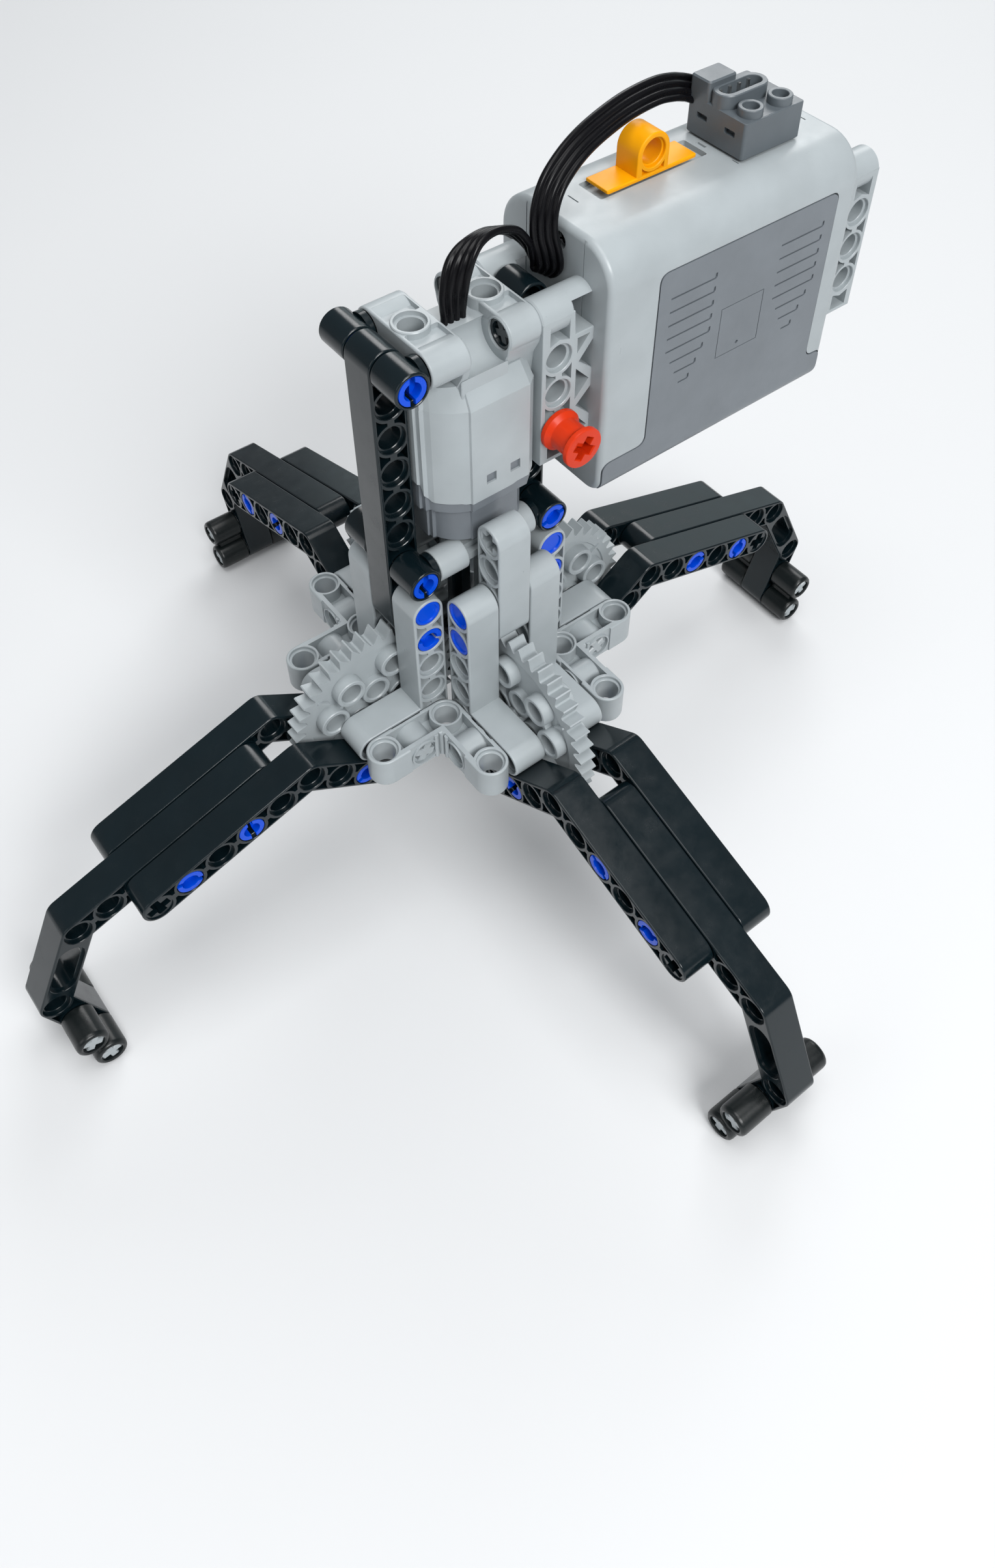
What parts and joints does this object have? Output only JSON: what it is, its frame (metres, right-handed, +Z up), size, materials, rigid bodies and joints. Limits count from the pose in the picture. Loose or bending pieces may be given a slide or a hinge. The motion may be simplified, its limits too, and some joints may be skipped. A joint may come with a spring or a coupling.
{
  "type": "four-legged walking robot",
  "caption": "Walking robot of plastic beams: four gear-driven bent legs round a worm, under an upright motor, with a battery box on one side and a cable between them.",
  "frame": {"origin": "middle of the floor area under the four feet, on the worm axis; the box is measured without the cable and its plug", "axes": "+X along leg a, away from the battery box; +Y along leg b; +Z up"},
  "size_m": [0.2292, 0.2292, 0.1673],
  "materials": {
    "light_grey": "satin moulded plastic",
    "dark_grey": "satin moulded plastic",
    "black": "semi-gloss moulded plastic",
    "rubber": "smooth rubber",
    "orange": "gloss moulded plastic",
    "red": "gloss moulded plastic",
    "blue": "gloss moulded plastic",
    "steel": "bright metal",
    "cable_black": "glossy flexible insulation"
  },
  "bodies": {
    "chassis": {"frame_beam_a_left": "light_grey", "frame_beam_a_right": "light_grey", "corner_connector_a": "light_grey", "frame_beam_b_left": "light_grey", "frame_beam_b_right": "light_grey", "corner_connector_b": "light_grey", "frame_beam_c_left": "light_grey", "frame_beam_c_right": "light_grey", "corner_connector_c": "light_grey", "frame_beam_d_left": "light_grey", "frame_beam_d_right": "light_grey", "corner_connector_d": "light_grey", "upright_beam_front": "black", "top_connector_front": "light_grey", "upright_beam_back": "black", "top_connector_back": "light_grey", "short_beam_near": "light_grey", "top_joiner_near": "black", "lower_spacer_near": "light_grey", "battery_lid_near": "dark_grey", "lower_joiner_front_near": "black", "lower_joiner_back_near": "black", "short_beam_far": "light_grey", "top_joiner_far": "black", "lower_spacer_far": "light_grey", "battery_lid_far": "dark_grey", "lower_joiner_front_far": "black", "lower_joiner_back_far": "black", "motor_base": "dark_grey", "motor_case": "light_grey", "battery_box": "light_grey", "plug": "dark_grey", "red_bush": "red", "cable": "cable_black"},
    "leg_a": {"leg_a_gear": "light_grey", "leg_a_gear_axle": "light_grey", "leg_a_outer_beam_left": "black", "leg_a_outer_beam_right": "black", "leg_a_middle_beam": "black", "leg_a_foot": "rubber"},
    "leg_b": {"leg_b_gear": "light_grey", "leg_b_gear_axle": "light_grey", "leg_b_outer_beam_left": "black", "leg_b_outer_beam_right": "black", "leg_b_middle_beam": "black", "leg_b_foot": "rubber"},
    "leg_c": {"leg_c_gear": "light_grey", "leg_c_gear_axle": "light_grey", "leg_c_outer_beam_left": "black", "leg_c_outer_beam_right": "black", "leg_c_middle_beam": "black", "leg_c_foot": "rubber"},
    "leg_d": {"leg_d_gear": "light_grey", "leg_d_gear_axle": "light_grey", "leg_d_outer_beam_left": "black", "leg_d_outer_beam_right": "black", "leg_d_middle_beam": "black", "leg_d_foot": "rubber"},
    "worm": {"worm": "black"},
    "switch": {"power_switch": "orange"}
  },
  "joints": [
    {"name": "leg_a_swing", "type": "hinge", "parent": "chassis", "child": "leg_a", "pos_m": [0.024, 0, 0.05406], "axis": [0, 1, 0], "range_deg": [0, 36]},
    {"name": "leg_b_swing", "type": "hinge", "parent": "chassis", "child": "leg_b", "pos_m": [0, 0.024, 0.05406], "axis": [-1, 0, 0], "range_deg": [0, 36]},
    {"name": "leg_c_swing", "type": "hinge", "parent": "chassis", "child": "leg_c", "pos_m": [-0.024, 0, 0.05406], "axis": [0, -1, 0], "range_deg": [0, 36]},
    {"name": "leg_d_swing", "type": "hinge", "parent": "chassis", "child": "leg_d", "pos_m": [0, -0.024, 0.05406], "axis": [1, 0, 0], "range_deg": [0, 36]},
    {"name": "worm_spin", "type": "hinge", "parent": "chassis", "child": "worm", "pos_m": [0, 0, 0.05406], "axis": [0, 0, 1], "range_deg": [-1440, 0]},
    {"name": "switch_slide", "type": "slide", "parent": "chassis", "child": "switch", "axis": [1, 0, 0], "range_m": [-0.003, 0.003]}
  ],
  "couplings": [
    {"joint": "leg_b_swing", "follows": "leg_a_swing", "ratio": 1},
    {"joint": "leg_c_swing", "follows": "leg_a_swing", "ratio": 1},
    {"joint": "leg_d_swing", "follows": "leg_a_swing", "ratio": 1},
    {"joint": "worm_spin", "follows": "leg_a_swing", "ratio": -40}
  ]
}
